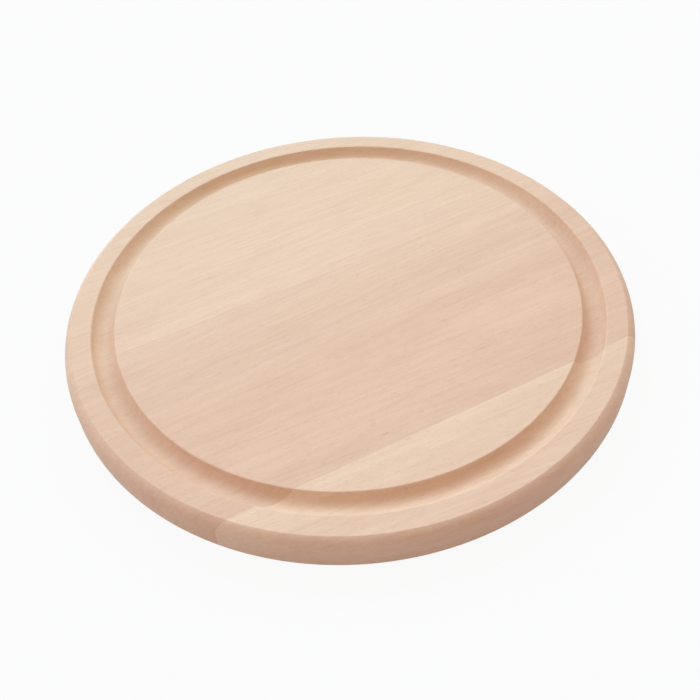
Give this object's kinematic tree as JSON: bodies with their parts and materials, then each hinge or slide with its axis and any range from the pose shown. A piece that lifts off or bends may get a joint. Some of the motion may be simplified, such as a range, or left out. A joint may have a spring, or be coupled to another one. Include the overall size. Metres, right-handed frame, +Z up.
{
  "type": "round cutting board",
  "caption": "Round edge-glued wooden cutting board with a flat cutting face, a round-bottomed juice groove inside a level rim, and a rounded edge.",
  "frame": {"origin": "centre of the underside", "axes": "+Z up out of the cutting face, +X along the wood grain, the front stave towards -Y"},
  "size_m": [0.3, 0.3, 0.02],
  "materials": {
    "beech_front": "sanded, unfinished beech, light with fine flecks",
    "beech_middle": "sanded, unfinished beech, pinkish",
    "beech_rear": "sanded, unfinished beech, pale and even",
    "wood_glue": "cured wood glue, sanded flush"
  },
  "bodies": {
    "root": {"stave_front": "beech_front", "glue_line_front": "wood_glue", "stave_middle": "beech_middle", "glue_line_rear": "wood_glue", "stave_rear": "beech_rear"}
  },
  "joints": []
}
